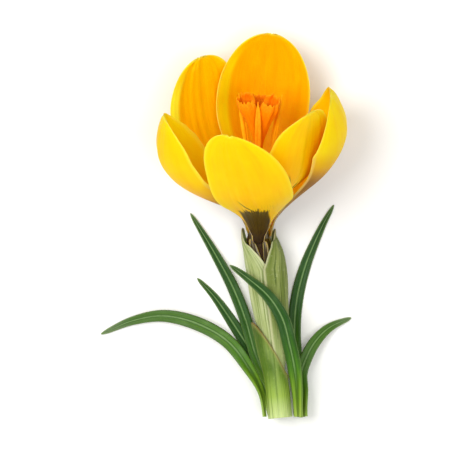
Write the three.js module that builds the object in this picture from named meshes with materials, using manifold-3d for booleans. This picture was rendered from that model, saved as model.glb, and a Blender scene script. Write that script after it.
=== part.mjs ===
// A yellow crocus flower, picked and lying down.
//
// Millimetres, +Z up. The flower lies along +Y: the cut foot is at the -Y end, the bloom opens
// towards +Y and looks up at a slant, and the origin is on the surface, under the middle.
//
// The perianth tube runs up inside two papery spathe valves, which the pale sheathing leaf holds
// at the foot. On the tube's throat sit three outer and three inner tepals. Inside them stand
// three stamens and the pistil with its frilled stigma lobes. Six narrow leaves of the same shoot
// stand round the foot.

import * as THREE from "three";
import { mergeVertices } from "three/addons/utils/BufferGeometryUtils.js";
import Module from "manifold-3d";

const wasm = await Module();
wasm.setup();

const DEG = Math.PI / 180;
const { cos, sin, PI, sqrt, max, min, abs } = Math;

// ---------------------------------------------------------------- driving dimensions

const ORIGIN = new THREE.Vector3(-6.0, 2.5, 0); // middle of the resting outline, from the throat

const BLOOM_TILT = 35 * DEG; // the bloom's axis above the surface
const THROAT = new THREE.Vector3(0.6, 0, 4.15); // where the tepals join the tube
const CLAW_HEIGHT = 2.6; // of the claws' feet above the throat, along the bloom's axis
const RIM_HEIGHT = 2.1; // of the tube's rim, below the claws
const CLAW_RADIUS = 2.2; // of the claws' feet, midway between the two whorls

const TEPAL_LENGTH = 42.2;
const TEPAL_THICK = 0.62;
const WHORL_STEP = 1.1; // how far the outer whorl stands outside the inner one

const LEAF_THICK = 0.7;
const SHEATH_THICK = 0.6;
const SPATHE_THICK = 0.6;

const FOOT_Y = -36.3; // where the shoot was cut

// The bloom's frame: its axis, its right and its front, which faces up.
const AXIS = new THREE.Vector3(0, cos(BLOOM_TILT), sin(BLOOM_TILT));
const RIGHT = new THREE.Vector3(1, 0, 0);
const FRONT = new THREE.Vector3(0, -sin(BLOOM_TILT), cos(BLOOM_TILT));

// The stem's middle line, from the cut foot to the throat's rim.
const STEM = new THREE.CatmullRomCurve3([
  new THREE.Vector3(5.0, FOOT_Y, 4.8),
  new THREE.Vector3(4.1, -26.8, 4.75),
  new THREE.Vector3(3.1, -18, 4.5),
  new THREE.Vector3(2.2, -10.4, 4.1),
  new THREE.Vector3(1.6, -5, 4.0),
  new THREE.Vector3(1.0, -2, 3.9),
  THROAT.clone(),
  THROAT.clone().addScaledVector(AXIS, RIM_HEIGHT),
]);
STEM.arcLengthDivisions = 400;
const STEM_LENGTH = STEM.getLength();
const RIM_Y = STEM.getPointAt(1).y;

// ---------------------------------------------------------------- small helpers

const lerp = (a, b, t) => a + (b - a) * t;
const clamp01 = (t) => min(1, max(0, t));
const smooth = (t) => clamp01(t) ** 2 * (3 - 2 * clamp01(t));

// A smooth curve through [x, y] pairs, read at x.
function graph(pairs) {
  return (x) => {
    if (x <= pairs[0][0]) return pairs[0][1];
    const last = pairs.length - 1;
    if (x >= pairs[last][0]) return pairs[last][1];
    let i = 0;
    while (x > pairs[i + 1][0]) i += 1;
    const slope = (k) => {
      if (k === 0 || k === last) return 0;
      return (pairs[k + 1][1] - pairs[k - 1][1]) / (pairs[k + 1][0] - pairs[k - 1][0]);
    };
    const width = pairs[i + 1][0] - pairs[i][0];
    const t = (x - pairs[i][0]) / width;
    const a = pairs[i][1];
    const b = pairs[i + 1][1];
    const hermite = (2 * t ** 3 - 3 * t ** 2 + 1) * a + (3 * t ** 2 - 2 * t ** 3) * b;
    return hermite + ((t ** 3 - 2 * t ** 2 + t) * slope(i) + (t ** 3 - t ** 2) * slope(i + 1)) * width;
  };
}

function geometryOf(points, faces) {
  const geometry = new THREE.BufferGeometry();
  const flat = points.flatMap((p) => [p.x, p.y, p.z]);
  geometry.setAttribute("position", new THREE.Float32BufferAttribute(flat, 3));
  geometry.setIndex(faces.flat());
  geometry.computeVertexNormals();
  return geometry;
}

// A thin closed blade on the middle sheet surface(u, v): u runs from root to tip, v from -1 to 1.
// Both faces are split into triangles alike. Where it would sink into the surface, it lies flat.
function blade(surface, rows, cols, thickness, rowAt = (t) => t) {
  const step = 1e-3;
  const sides = [[], []];
  for (let i = 0; i <= rows; i += 1) {
    for (let j = 0; j <= cols; j += 1) {
      const u = rowAt(i / rows);
      const v = (2 * j) / cols - 1;
      const along = surface(min(1, u + step), v).sub(surface(max(0, u - step), v));
      const across = surface(u, min(1, v + step)).sub(surface(u, max(-1, v - step)));
      const normal = new THREE.Vector3().crossVectors(across, along).normalize();
      const half = thickness(u, v) / 2;
      const front = surface(u, v).addScaledVector(normal, half);
      const back = surface(u, v).addScaledVector(normal, -half);
      front.z = max(front.z, normal.z < 0 ? 0 : 2 * half);
      back.z = max(back.z, normal.z < 0 ? 2 * half : 0);
      sides[0].push(front);
      sides[1].push(back);
    }
  }
  const count = (rows + 1) * (cols + 1);
  const at = (i, j) => i * (cols + 1) + j;
  const faces = [];
  for (let i = 0; i < rows; i += 1) {
    for (let j = 0; j < cols; j += 1) {
      const [a, b, c, d] = [at(i, j), at(i, j + 1), at(i + 1, j + 1), at(i + 1, j)];
      faces.push([a, b, c], [a, c, d]);
      faces.push([count + a, count + c, count + b], [count + a, count + d, count + c]);
    }
  }
  const rim = [];
  for (let j = 0; j < cols; j += 1) rim.push(at(0, j));
  for (let i = 0; i < rows; i += 1) rim.push(at(i, cols));
  for (let j = cols; j > 0; j -= 1) rim.push(at(rows, j));
  for (let i = rows; i > 0; i -= 1) rim.push(at(i, 0));
  rim.forEach((a, k) => {
    const b = rim[(k + 1) % rim.length];
    faces.push([a, count + b, b], [a, count + a, count + b]);
  });
  return geometryOf([...sides[0], ...sides[1]], faces);
}

// A closed skin over rings of equally many points, fanned shut at both ends.
function skin(rings) {
  const n = rings[0].length;
  const middle = (ring) => ring.reduce((sum, p) => sum.add(p), new THREE.Vector3()).divideScalar(n);
  const points = [middle(rings[0]), ...rings.flat(), middle(rings[rings.length - 1])];
  const at = (i, j) => 1 + i * n + (j % n);
  const faces = [];
  for (let j = 0; j < n; j += 1) {
    faces.push([0, at(0, j + 1), at(0, j)]);
    faces.push([points.length - 1, at(rings.length - 1, j), at(rings.length - 1, j + 1)]);
  }
  for (let i = 0; i + 1 < rings.length; i += 1) {
    for (let j = 0; j < n; j += 1) {
      faces.push([at(i, j), at(i, j + 1), at(i + 1, j + 1)], [at(i, j), at(i + 1, j + 1), at(i + 1, j)]);
    }
  }
  return geometryOf(points, faces);
}

// A closed sleeve: a ring wall between outer(i) and inner(i) rings, closed at both ends.
function sleeve(outer, inner) {
  const n = outer[0].length;
  const rings = [...outer, ...inner.slice().reverse()];
  const points = rings.flat();
  const at = (i, j) => (i % rings.length) * n + (j % n);
  const faces = [];
  for (let i = 0; i < rings.length; i += 1) {
    for (let j = 0; j < n; j += 1) {
      faces.push([at(i, j), at(i, j + 1), at(i + 1, j + 1)], [at(i, j), at(i + 1, j + 1), at(i + 1, j)]);
    }
  }
  return geometryOf(points, faces);
}

// ---------------------------------------------------------------- frames

const outward = (azimuth) =>
  new THREE.Vector3().addScaledVector(FRONT, cos(azimuth)).addScaledVector(RIGHT, sin(azimuth));
const sideways = (azimuth) =>
  new THREE.Vector3().addScaledVector(FRONT, -sin(azimuth)).addScaledVector(RIGHT, cos(azimuth));

// A point of the bloom, by distance from its axis, height above the throat and azimuth.
const bloomPoint = (radius, height, azimuth) =>
  THROAT.clone().addScaledVector(AXIS, height).addScaledVector(outward(azimuth), radius);

// The stem's frame at a share of its length: 0 at the cut foot, 1 at the throat.
function stemFrame(share) {
  const t = clamp01(share);
  const point = STEM.getPointAt(t);
  const along = STEM.getTangentAt(t);
  const right = new THREE.Vector3().crossVectors(along, new THREE.Vector3(0, 0, 1)).normalize();
  const up = new THREE.Vector3().crossVectors(right, along);
  point.addScaledVector(along, (share - t) * STEM_LENGTH);
  return { point, along, right, up };
}

// A point round the stem: azimuth 0 is on top, +90 degrees on the right.
function stemPoint(share, azimuth, halfWidth, halfHeight) {
  const { point, right, up } = stemFrame(share);
  point.addScaledVector(right, halfWidth * sin(azimuth));
  return point.addScaledVector(up, halfHeight * cos(azimuth));
}

const stemRing = (share, halfWidth, halfHeight, count) =>
  Array.from({ length: count }, (_, j) => stemPoint(share, (2 * PI * j) / count, halfWidth, halfHeight));

// ---------------------------------------------------------------- tepals

// How far a tepal leans away from the bloom's axis along its length, in degrees.
const LEAN = graph([
  [0, 12],
  [0.03, 15],
  [0.09, 36],
  [0.18, 50],
  [0.29, 51],
  [0.42, 39],
  [0.56, 21],
  [0.7, 6],
  [0.83, -5],
  [0.95, -14],
  [1, -17],
]);
const MIDRIB_STEPS = 80;

// The midrib from the claw's foot: its distance from the bloom's axis, its height and its lean.
function midrib({ length, base, middle, tip, offset }) {
  const lean = (u) => {
    const low = base * Math.exp(-(((u - 0.2) / 0.14) ** 2));
    return (LEAN(u) + low + middle * smooth((u - 0.25) / 0.35) + tip * smooth((u - 0.6) / 0.4)) * DEG;
  };
  const step = (TEPAL_LENGTH * length) / MIDRIB_STEPS;
  const radii = [CLAW_RADIUS];
  const heights = [CLAW_HEIGHT];
  for (let i = 1; i <= MIDRIB_STEPS; i += 1) {
    const angle = lean((i - 0.5) / MIDRIB_STEPS);
    radii.push(radii[i - 1] + step * sin(angle));
    heights.push(heights[i - 1] + step * cos(angle));
  }
  return (u) => {
    const i = min(MIDRIB_STEPS - 1, Math.floor(u * MIDRIB_STEPS));
    const t = u * MIDRIB_STEPS - i;
    const angle = lean(u);
    const radius = lerp(radii[i], radii[i + 1], t) + offset * cos(angle);
    const height = lerp(heights[i], heights[i + 1], t) - offset * sin(angle);
    return { radius, height, angle };
  };
}

// Half the width of a tepal along its length, as a share of the widest.
const WIDEST = 0.63;
function tepalOutline(u, clawShare, taper) {
  if (u < WIDEST) return lerp(clawShare, 1, sin((PI / 2) * (u / WIDEST) ** taper));
  return sqrt(max(0, 1 - ((u - WIDEST) / (1 - WIDEST)) ** 2.7));
}

// The middle sheet of a tepal. Its cross-section is an arc about the bloom's inside, roll turns
// that arc about the midrib, and tuck moves the left and the right margin inwards. The tuck fades
// as the tip narrows.
function tepalSheet({ azimuth, twist, halfWidth, clawShare, taper, bow, roll, tuck, ...rib }) {
  const along = midrib(rib);
  const tip = 0.995;
  return (u, v) => {
    const s = u * tip;
    const { radius, height, angle } = along(s);
    const turned = (azimuth + twist * s * s) * DEG;
    const inwards = outward(turned).multiplyScalar(-cos(angle)).addScaledVector(AXIS, sin(angle));
    const bend = lerp(CLAW_RADIUS + rib.offset, bow, smooth(s / 0.55));
    const outline = tepalOutline(s, clawShare, taper);
    const arc = (v * halfWidth * outline) / bend;
    const across = bend * sin(arc);
    const narrow = s < WIDEST ? 1 : outline ** 2;
    const margin = smooth(2.5 * s) * tuck[v < 0 ? 0 : 1] * v * v * narrow;
    const depth = bend * (1 - cos(arc)) + margin;
    const rolled = roll * DEG * smooth(s * 1.5);
    return bloomPoint(radius, height, turned)
      .addScaledVector(sideways(turned), across * cos(rolled) - depth * sin(rolled))
      .addScaledVector(inwards, across * sin(rolled) + depth * cos(rolled));
  };
}

const TEPAL_ROWS = 14;
const TEPAL_COLS = 8;

// Lengths are shares of TEPAL_LENGTH, angles are degrees. Azimuth 0 looks up, +90 is on the right.
// base, middle and tip lean that stretch of the tepal further out, and twist turns its tip.
const outerTepal = { offset: WHORL_STEP / 2, clawShare: 0.16, taper: 0.95 };
const innerTepal = { offset: -WHORL_STEP / 2, clawShare: 0.1, taper: 1.15 };
const TEPALS = {
  tepal_outer_front: {
    ...outerTepal,
    ...{ azimuth: -0.5, twist: -17, roll: -2 },
    ...{ length: 0.96, base: -14.5, middle: 8, tip: 10.5 },
    ...{ halfWidth: 8.5, bow: 18.8, tuck: [-1.2, 0.8] },
  },
  tepal_outer_right: {
    ...outerTepal,
    ...{ azimuth: 103.6, twist: -10, roll: -6.9 },
    ...{ length: 0.891, base: -6.9, middle: 10.9, tip: -32.5 },
    ...{ halfWidth: 11.8, bow: 12.2, tuck: [1.8, 0.45] },
    ...{ clawShare: 0.12, taper: 1.8 },
  },
  tepal_outer_left: {
    ...outerTepal,
    ...{ azimuth: -139, twist: -1.3, roll: -2.5 },
    ...{ length: 0.907, base: 2.4, middle: 5.1, tip: 5.2 },
    ...{ halfWidth: 9, bow: 17.9, tuck: [-1.3, -0.55] },
  },
  tepal_inner_right: {
    ...innerTepal,
    ...{ azimuth: 51.6, twist: 5.5, roll: -7.7 },
    ...{ length: 0.844, base: -27.8, middle: -2.2, tip: 21 },
    ...{ halfWidth: 7.75, bow: 12.6, tuck: [1.55, -1.3] },
    ...{ taper: 1.3 },
  },
  tepal_inner_left: {
    ...innerTepal,
    ...{ azimuth: -76.7, twist: 11, roll: -12.5 },
    ...{ length: 0.99, base: 3, middle: 19.1, tip: -20.5 },
    ...{ halfWidth: 9.4, bow: 7.3, tuck: [1.65, 1.65] },
  },
  tepal_inner_back: {
    ...innerTepal,
    ...{ azimuth: 178, twist: -6, roll: -1.2 },
    ...{ length: 1.03, base: 6.2, middle: 3.2, tip: -5.9 },
    ...{ halfWidth: 10.5, bow: 13.3, tuck: [2, 1.75] },
  },
};

// ---------------------------------------------------------------- stamens and pistil

// The style and the stamens lean together towards the back of the bloom.
const CENTRE_LEAN = 4; // at CENTRE_TOP above the throat
const CENTRE_TOP = 33;
const centrePoint = (radius, height, azimuth) =>
  bloomPoint(radius, height, azimuth).addScaledVector(FRONT, -CENTRE_LEAN * (height / CENTRE_TOP) ** 2);

const FILAMENT = 0.62; // share of a stamen's length below its anther
const STAMEN_FOOT = 0.9; // distance from the style
const STAMENS = {
  stamen_front: { azimuth: -3, spread: 2.8, top: 33 },
  stamen_right: { azimuth: 108, spread: 5, top: 32 },
  stamen_left: { azimuth: -134, spread: 5.6, top: 31 },
};

const STYLE_RADIUS = 0.5;
const STYLE_TOP = 22.5;
const LOBES = [
  { azimuth: -82, length: 11 },
  { azimuth: 70, length: 10.8 },
  { azimuth: 178, length: 9.2 },
];
const LOBE_SPREAD = 2.6;
const LOBE_MOUTH = 1.65; // radius of the trumpet's mouth

const stamenHalfWidth = graph([
  [0, 0.3],
  [FILAMENT - 0.03, 0.33],
  [FILAMENT + 0.03, 0.8],
  [0.78, 0.95],
  [0.92, 0.7],
  [1, 0.25],
]);
const stamenHalfDepth = graph([
  [0, 0.27],
  [FILAMENT - 0.03, 0.3],
  [FILAMENT + 0.03, 0.55],
  [0.8, 0.6],
  [1, 0.22],
]);

function stamen({ azimuth, spread, top }) {
  const rows = 16;
  const sides = 10;
  const turned = azimuth * DEG;
  const rings = Array.from({ length: rows + 1 }, (_, i) => {
    const s = i / rows;
    const middle = centrePoint(lerp(STAMEN_FOOT, spread, s ** 1.5), lerp(CLAW_HEIGHT, top, s), turned);
    return Array.from({ length: sides }, (__, j) => {
      const angle = (2 * PI * j) / sides;
      const groove = 1 - 0.3 * smooth((s - FILAMENT) * 12) * cos(angle) ** 8;
      return middle
        .clone()
        .addScaledVector(sideways(turned), stamenHalfWidth(s) * sin(angle))
        .addScaledVector(outward(turned), stamenHalfDepth(s) * cos(angle) * groove);
    });
  });
  return skin(rings);
}

// One stigma lobe: a sheet rolled into a trumpet that opens upwards and inwards, with a frilled rim.
function stigmaLobe({ azimuth, length }) {
  const turned = azimuth * DEG;
  const wrap = 135 * DEG;
  const sheet = (u, v) => {
    const frill = 0.07 * cos(5 * PI * v) * smooth((u - 0.55) / 0.45);
    const s = u * (1 - 0.16 * (1 - abs(v)) ** 1.5) + frill;
    const radius = lerp(0.42, LOBE_MOUTH, smooth(s * 0.95));
    const middle = centrePoint(lerp(0.15, LOBE_SPREAD, s ** 1.2), STYLE_TOP - 1 + length * s, turned);
    return middle
      .addScaledVector(sideways(turned), radius * sin(v * wrap))
      .addScaledVector(outward(turned), radius * cos(v * wrap));
  };
  return blade(sheet, 8, 12, () => 0.6);
}

function solidOf(geometry) {
  const bare = geometry.clone();
  bare.deleteAttribute("normal");
  const merged = mergeVertices(bare, 1e-4);
  const vertProperties = new Float32Array(merged.attributes.position.array);
  const triVerts = new Uint32Array(merged.index.array);
  return new wasm.Manifold(new wasm.Mesh({ numProp: 3, vertProperties, triVerts }));
}

function geometryOfSolid(solid) {
  const mesh = solid.getMesh();
  const geometry = new THREE.BufferGeometry();
  geometry.setAttribute("position", new THREE.BufferAttribute(mesh.vertProperties, 3));
  geometry.setIndex(new THREE.BufferAttribute(mesh.triVerts, 1));
  geometry.computeVertexNormals();
  return geometry;
}

function pistil() {
  const rows = 6;
  const sides = 10;
  const rings = Array.from({ length: rows + 1 }, (_, i) => {
    const height = lerp(CLAW_HEIGHT, STYLE_TOP + 0.4, i / rows);
    const radius = lerp(STYLE_RADIUS * 0.7, STYLE_RADIUS * 1.5, i / rows);
    return Array.from({ length: sides }, (__, j) => centrePoint(radius, height, (2 * PI * j) / sides));
  });
  let solid = solidOf(skin(rings));
  for (const lobe of LOBES) solid = solid.add(solidOf(stigmaLobe(lobe)));
  return geometryOfSolid(solid);
}

// ---------------------------------------------------------------- tube and sheaths

const STEM_SIDES = 16;

const shareAtY = (y) => {
  let low = 0;
  let high = 1;
  for (let i = 0; i < 40; i += 1) {
    const mid = (low + high) / 2;
    if (STEM.getPointAt(mid).y < y) low = mid;
    else high = mid;
  }
  return (low + high) / 2;
};

// The perianth tube is slender in the sheaths and widens into the throat that carries the tepals.
const tubeRadius = graph([
  [FOOT_Y, 0.7],
  [-20, 0.85],
  [-10, 1.15],
  [-4, 1.6],
  [-1, 2.3],
  [1.9, 3.0],
]);
function perianthTube() {
  const rows = 18;
  const rings = Array.from({ length: rows + 1 }, (_, i) => {
    const share = i / rows;
    const radius = tubeRadius(STEM.getPointAt(share).y);
    return stemRing(share, radius, radius, STEM_SIDES);
  });
  return skin(rings);
}

// Half width and half height of the spathe along the stem, by Y.
const spatheWidth = graph([
  [FOOT_Y, 1.25],
  [-29, 1.3],
  [-23, 2.0],
  [-16, 2.9],
  [-9, 3.5],
  [-3, 3.6],
  [3, 3.65],
]);
const spatheHeight = graph([
  [FOOT_Y, 1.25],
  [-29, 1.3],
  [-23, 1.8],
  [-16, 2.1],
  [-8, 2.3],
  [-3, 2.8],
  [3, 4.2],
]);

// A spathe valve: a shell round one side of the stem that narrows to a point at the throat.
function spatheValve({ side, tipY, notchY, reach, lift }) {
  const sheet = (u, v) => {
    const y = lerp(FOOT_Y, tipY, u);
    const share = y > RIM_Y ? 1 + (y - RIM_Y) / STEM_LENGTH : shareAtY(y);
    const over = smooth((y + 24) / 6);
    const spread = lerp(82, reach, smooth((y + 19) / 5)) * DEG;
    const taper = clamp01((tipY - y) / (tipY - notchY));
    const half = max(4 * DEG, spread * taper ** 0.6);
    const grow = lift * over * (1 - smooth((y + 4) / 6));
    return stemPoint(share, side * 90 * DEG + v * half, spatheWidth(y) + grow, spatheHeight(y) + grow);
  };
  return blade(sheet, 20, 10, () => SPATHE_THICK);
}

const SPATHE = {
  spathe_left: { side: -1, tipY: 1.9, notchY: -6.4, reach: 104, lift: 0 },
  spathe_right: { side: 1, tipY: 2.0, notchY: -6.2, reach: 92, lift: 0.9 },
};

// The sheathing leaf: a closed sleeve whose top rises to a point on the left.
function sheathingLeaf() {
  const halfWidth = graph([
    [FOOT_Y, 2.15],
    [-29, 2.2],
    [-26, 2.5],
    [-23, 3.0],
    [-16, 3.7],
  ]);
  const halfHeight = graph([
    [FOOT_Y, 2.15],
    [-29, 2.2],
    [-23, 2.75],
    [-16, 3.1],
  ]);
  const topY = (azimuth) => -28 + 11.5 * ((1 + cos(azimuth + 75 * DEG)) / 2) ** 1.6;
  const rows = 12;
  const sides = 20;
  const rings = (inset) =>
    Array.from({ length: rows + 1 }, (_, i) =>
      Array.from({ length: sides }, (__, j) => {
        const azimuth = (2 * PI * j) / sides;
        const y = lerp(FOOT_Y, topY(azimuth), i / rows);
        return stemPoint(shareAtY(y), azimuth, halfWidth(y) + inset, halfHeight(y) + inset);
      }),
    );
  return sleeve(rings(SHEATH_THICK / 2), rings(-SHEATH_THICK / 2));
}

// ---------------------------------------------------------------- leaves

// A leaf follows a curve; its blade is a shallow channel with a keel under the midrib.
// twist is the blade's turn about its own line, in degrees, at root and tip.
function leaf({ path, halfWidth, twist }) {
  const curve = new THREE.CatmullRomCurve3(path.map((p) => new THREE.Vector3(...p)));
  curve.arcLengthDivisions = 200;
  const narrowing = (u) => 1 - 0.88 * max(0, (u - 0.55) / 0.45) ** 2.2;
  const outline = (u) => halfWidth * lerp(0.72, 1, smooth(u * 3)) * narrowing(u);
  const sheet = (u, v) => {
    const point = curve.getPointAt(u);
    const along = curve.getTangentAt(u);
    const up = new THREE.Vector3(0, 0, 1);
    const across = new THREE.Vector3().crossVectors(along, up).normalize();
    const top = new THREE.Vector3().crossVectors(across, along);
    const angle = lerp(twist[0], twist[1], smooth(u / 0.4)) * DEG;
    const side = across.clone().multiplyScalar(cos(angle)).addScaledVector(top, sin(angle));
    const face = top.clone().multiplyScalar(cos(angle)).addScaledVector(across, -sin(angle));
    const half = outline(u);
    const channel = 0.28 * half * v * v;
    return point.addScaledVector(side, v * half).addScaledVector(face, channel);
  };
  return blade(sheet, 22, 4, () => LEAF_THICK);
}

// Points of each leaf's line from root to tip. The undersides of the lowest leaves lie on the surface.
const LEAVES = {
  leaf_left_low: {
    path: [
      ...[[1.7, -36.1, 4.6], [0.9, -31, 4.4], [-1.5, -26.2, 4.0], [-5.4, -21, 3.6]],
      ...[[-11.3, -17.4, 2.9], [-18.6, -15.6, 1.7], [-25, -16.6, 0.7], [-31.4, -19.3, 0.25]],
    ],
    halfWidth: 1.3,
    twist: [-78, 0],
  },
  leaf_crossing: {
    path: [
      ...[[8.8, -36.1, 5.2], [8.5, -31, 5.9], [7.9, -26, 7.1], [6.9, -21.5, 8.2]],
      ...[[5.4, -16, 9], [2.6, -11.6, 9.3], [-1.6, -7.9, 8.8], [-5.2, -5.3, 8.0]],
    ],
    halfWidth: 1.35,
    twist: [50, 0],
  },
  leaf_right_low: {
    path: [
      ...[[10.1, -36.1, 4.0], [9.7, -31, 3.6], [9.3, -27.5, 3.2], [10.2, -24.4, 3.0]],
      ...[[12, -21, 2.5], [15, -18, 1.3], [19.4, -16, 0.25]],
    ],
    halfWidth: 1.15,
    twist: [62, 0],
  },
  leaf_right_high: {
    path: [
      ...[[8.9, -36.1, 1.6], [8.4, -27, 1.1], [7.9, -18.4, 0.4], [8.4, -12.2, 0.25]],
      ...[[10.1, -5.5, 0.25], [13.5, 2.5, 0.25], [15.9, 6.9, 0.25]],
    ],
    halfWidth: 1.2,
    twist: [0, 0],
  },
  leaf_left_high: {
    path: [
      ...[[5.2, -36.1, 1.5], [3, -30, 1.5], [0.2, -24, 1.5], [-1.9, -16.8, 1.5]],
      ...[[-4.6, -9.8, 1.3], [-7.9, -3.6, 1], [-13.2, 5.2, 0.6]],
    ],
    halfWidth: 1.15,
    twist: [0, 0],
  },
  leaf_left_middle: {
    path: [
      ...[[3.6, -36.1, 0.25], [2, -30, 0.25], [-0.1, -24.3, 0.25], [-2.2, -20.8, 0.25]],
      ...[[-4.6, -17.1, 0.25], [-8.3, -11.8, 0.25], [-11.8, -8, 0.25]],
    ],
    halfWidth: 1.1,
    twist: [0, 0],
  },
};

// ---------------------------------------------------------------- assembly

const paint = (color, roughness = 0.6) =>
  new THREE.MeshStandardMaterial({ color, roughness, metalness: 0, side: THREE.DoubleSide });

const YELLOW = paint(0xffc400, 0.5);
const DEEP_YELLOW = paint(0xffae00, 0.5);
const ORANGE = paint(0xff7a00, 0.6);
const AMBER = paint(0xffa91a, 0.7);
const BROWN = paint(0x5a4030, 0.6);
const PAPER = paint(0xc3c794, 0.7);
const PALE_GREEN = paint(0xa9c56a, 0.6);
const GREEN = paint(0x2f6a24, 0.5);

const crocus = new THREE.Group();
crocus.name = "crocus_flower";

function place(name, geometry, material) {
  const mesh = new THREE.Mesh(geometry, material);
  mesh.name = name;
  crocus.add(mesh);
}

const tepalRow = (t) => lerp(t, sin((PI / 2) * t), 0.6);
for (const [name, shape] of Object.entries(TEPALS)) {
  const material = name.includes("outer") ? YELLOW : DEEP_YELLOW;
  place(name, blade(tepalSheet(shape), TEPAL_ROWS, TEPAL_COLS, () => TEPAL_THICK, tepalRow), material);
}
for (const [name, shape] of Object.entries(STAMENS)) place(name, stamen(shape), AMBER);
place("pistil", pistil(), ORANGE);
place("perianth_tube", perianthTube(), BROWN);
for (const [name, shape] of Object.entries(SPATHE)) place(name, spatheValve(shape), PAPER);
place("sheathing_leaf", sheathingLeaf(), PALE_GREEN);
for (const [name, shape] of Object.entries(LEAVES)) place(name, leaf(shape), GREEN);

crocus.position.copy(ORIGIN).negate();

export default crocus;
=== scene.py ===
"""A yellow crocus flower, picked and lying down: its fine surfaces, veins and colours.

Forms are worked out in millimetres from a point under the bloom's throat, as the solids are, and
written in metres. Thin blades are closed shells. Each piece carries its own flat coordinates,
which the materials read: run and lane (mm along and across), share (0 to 1 along) and edge (mm
from the margin).
"""

import math

import bpy
import numpy as np
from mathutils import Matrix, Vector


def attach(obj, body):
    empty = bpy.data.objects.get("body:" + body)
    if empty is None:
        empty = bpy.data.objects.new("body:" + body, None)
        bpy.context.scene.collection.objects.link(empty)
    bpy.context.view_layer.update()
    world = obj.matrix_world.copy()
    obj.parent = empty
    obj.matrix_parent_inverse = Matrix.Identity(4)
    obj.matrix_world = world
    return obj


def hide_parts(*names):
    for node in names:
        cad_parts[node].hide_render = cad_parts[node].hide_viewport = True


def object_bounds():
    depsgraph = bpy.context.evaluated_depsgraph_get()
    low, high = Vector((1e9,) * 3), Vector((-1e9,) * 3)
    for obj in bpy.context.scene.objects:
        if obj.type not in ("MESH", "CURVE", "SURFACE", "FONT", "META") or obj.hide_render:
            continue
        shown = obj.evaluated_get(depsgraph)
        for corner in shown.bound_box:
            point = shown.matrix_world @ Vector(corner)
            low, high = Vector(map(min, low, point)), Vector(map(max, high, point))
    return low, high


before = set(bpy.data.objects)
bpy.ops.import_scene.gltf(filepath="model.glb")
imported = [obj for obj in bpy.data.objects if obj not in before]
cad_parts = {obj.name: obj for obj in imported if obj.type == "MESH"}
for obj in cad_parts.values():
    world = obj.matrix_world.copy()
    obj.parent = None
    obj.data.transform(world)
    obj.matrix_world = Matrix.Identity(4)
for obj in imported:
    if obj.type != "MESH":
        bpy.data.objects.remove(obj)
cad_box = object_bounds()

DEG = math.pi / 180

# ---- dimensions, in millimetres

ORIGIN = np.array([-6.0, 2.5, 0.0])  # the frame's origin
BLOOM_TILT = 35 * DEG  # the bloom's axis, above the stem
THROAT = np.array([0.6, 0.0, 4.15])
CLAW_HEIGHT = 2.6  # from the throat to the foot of the tepals' claws
RIM_HEIGHT = 2.1  # from the throat to the tube's rim
CLAW_RADIUS = 2.2
TEPAL_LENGTH = 42.2
WHORL_STEP = 1.1  # between the outer and the inner whorl
FOOT_Y = -36.3  # the cut end
FLOOR_CLEARANCE = 0.015

AXIS = np.array([0.0, math.cos(BLOOM_TILT), math.sin(BLOOM_TILT)])
RIGHT = np.array([1.0, 0.0, 0.0])
FRONT = np.array([0.0, -math.sin(BLOOM_TILT), math.cos(BLOOM_TILT)])
UP = np.array([0.0, 0.0, 1.0])


# ---- small helpers


def lerp(a, b, t):
    return a + (b - a) * t


def smooth(t):
    t = np.clip(t, 0.0, 1.0)
    return t * t * (3 - 2 * t)


def bell(x, width):
    return np.exp(-((x / width) ** 2))


def unit(v):
    return v / np.maximum(np.linalg.norm(v, axis=-1, keepdims=True), 1e-9)


def graph(pairs):
    """A smooth curve through (x, y) pairs, level at both ends."""
    xs, ys = np.array(pairs, float).T
    slopes = np.zeros(len(xs))
    slopes[1:-1] = (ys[2:] - ys[:-2]) / (xs[2:] - xs[:-2])

    def read(x):
        x = np.clip(x, xs[0], xs[-1])
        i = np.clip(np.searchsorted(xs, x) - 1, 0, len(xs) - 2)
        width = xs[i + 1] - xs[i]
        t = (x - xs[i]) / width
        value = (2 * t**3 - 3 * t**2 + 1) * ys[i] + (3 * t**2 - 2 * t**3) * ys[i + 1]
        return value + ((t**3 - 2 * t**2 + t) * slopes[i] + (t**3 - t**2) * slopes[i + 1]) * width

    return read


def waves(seed, count, lowest, highest):
    """A sum of sines over x, about -1 to 1, the same every run."""
    rng = np.random.default_rng(seed)
    rates = rng.uniform(lowest, highest, count)
    phases = rng.uniform(0, 2 * math.pi, count)
    sizes = rng.uniform(0.5, 1.0, count)
    sizes = sizes / sizes.sum()

    def read(x):
        return sum(s * np.sin(2 * math.pi * r * x + p) for s, r, p in zip(sizes, rates, phases))

    return read


def column(rows, end=1.0):
    """Rows + 1 even steps from 0 to end."""
    return np.linspace(0, end, rows + 1)[:, None]


def ring_angles(sides):
    """The angles round a ring."""
    return (np.arange(sides) * 2 * math.pi / sides)[None, :]


def crowded(rows, share):
    """Rows + 1 steps from 0 to 1 that draw closer together towards 1."""
    t = np.linspace(0, 1, rows + 1)
    return lerp(t, np.sin(math.pi / 2 * t), share)


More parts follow.
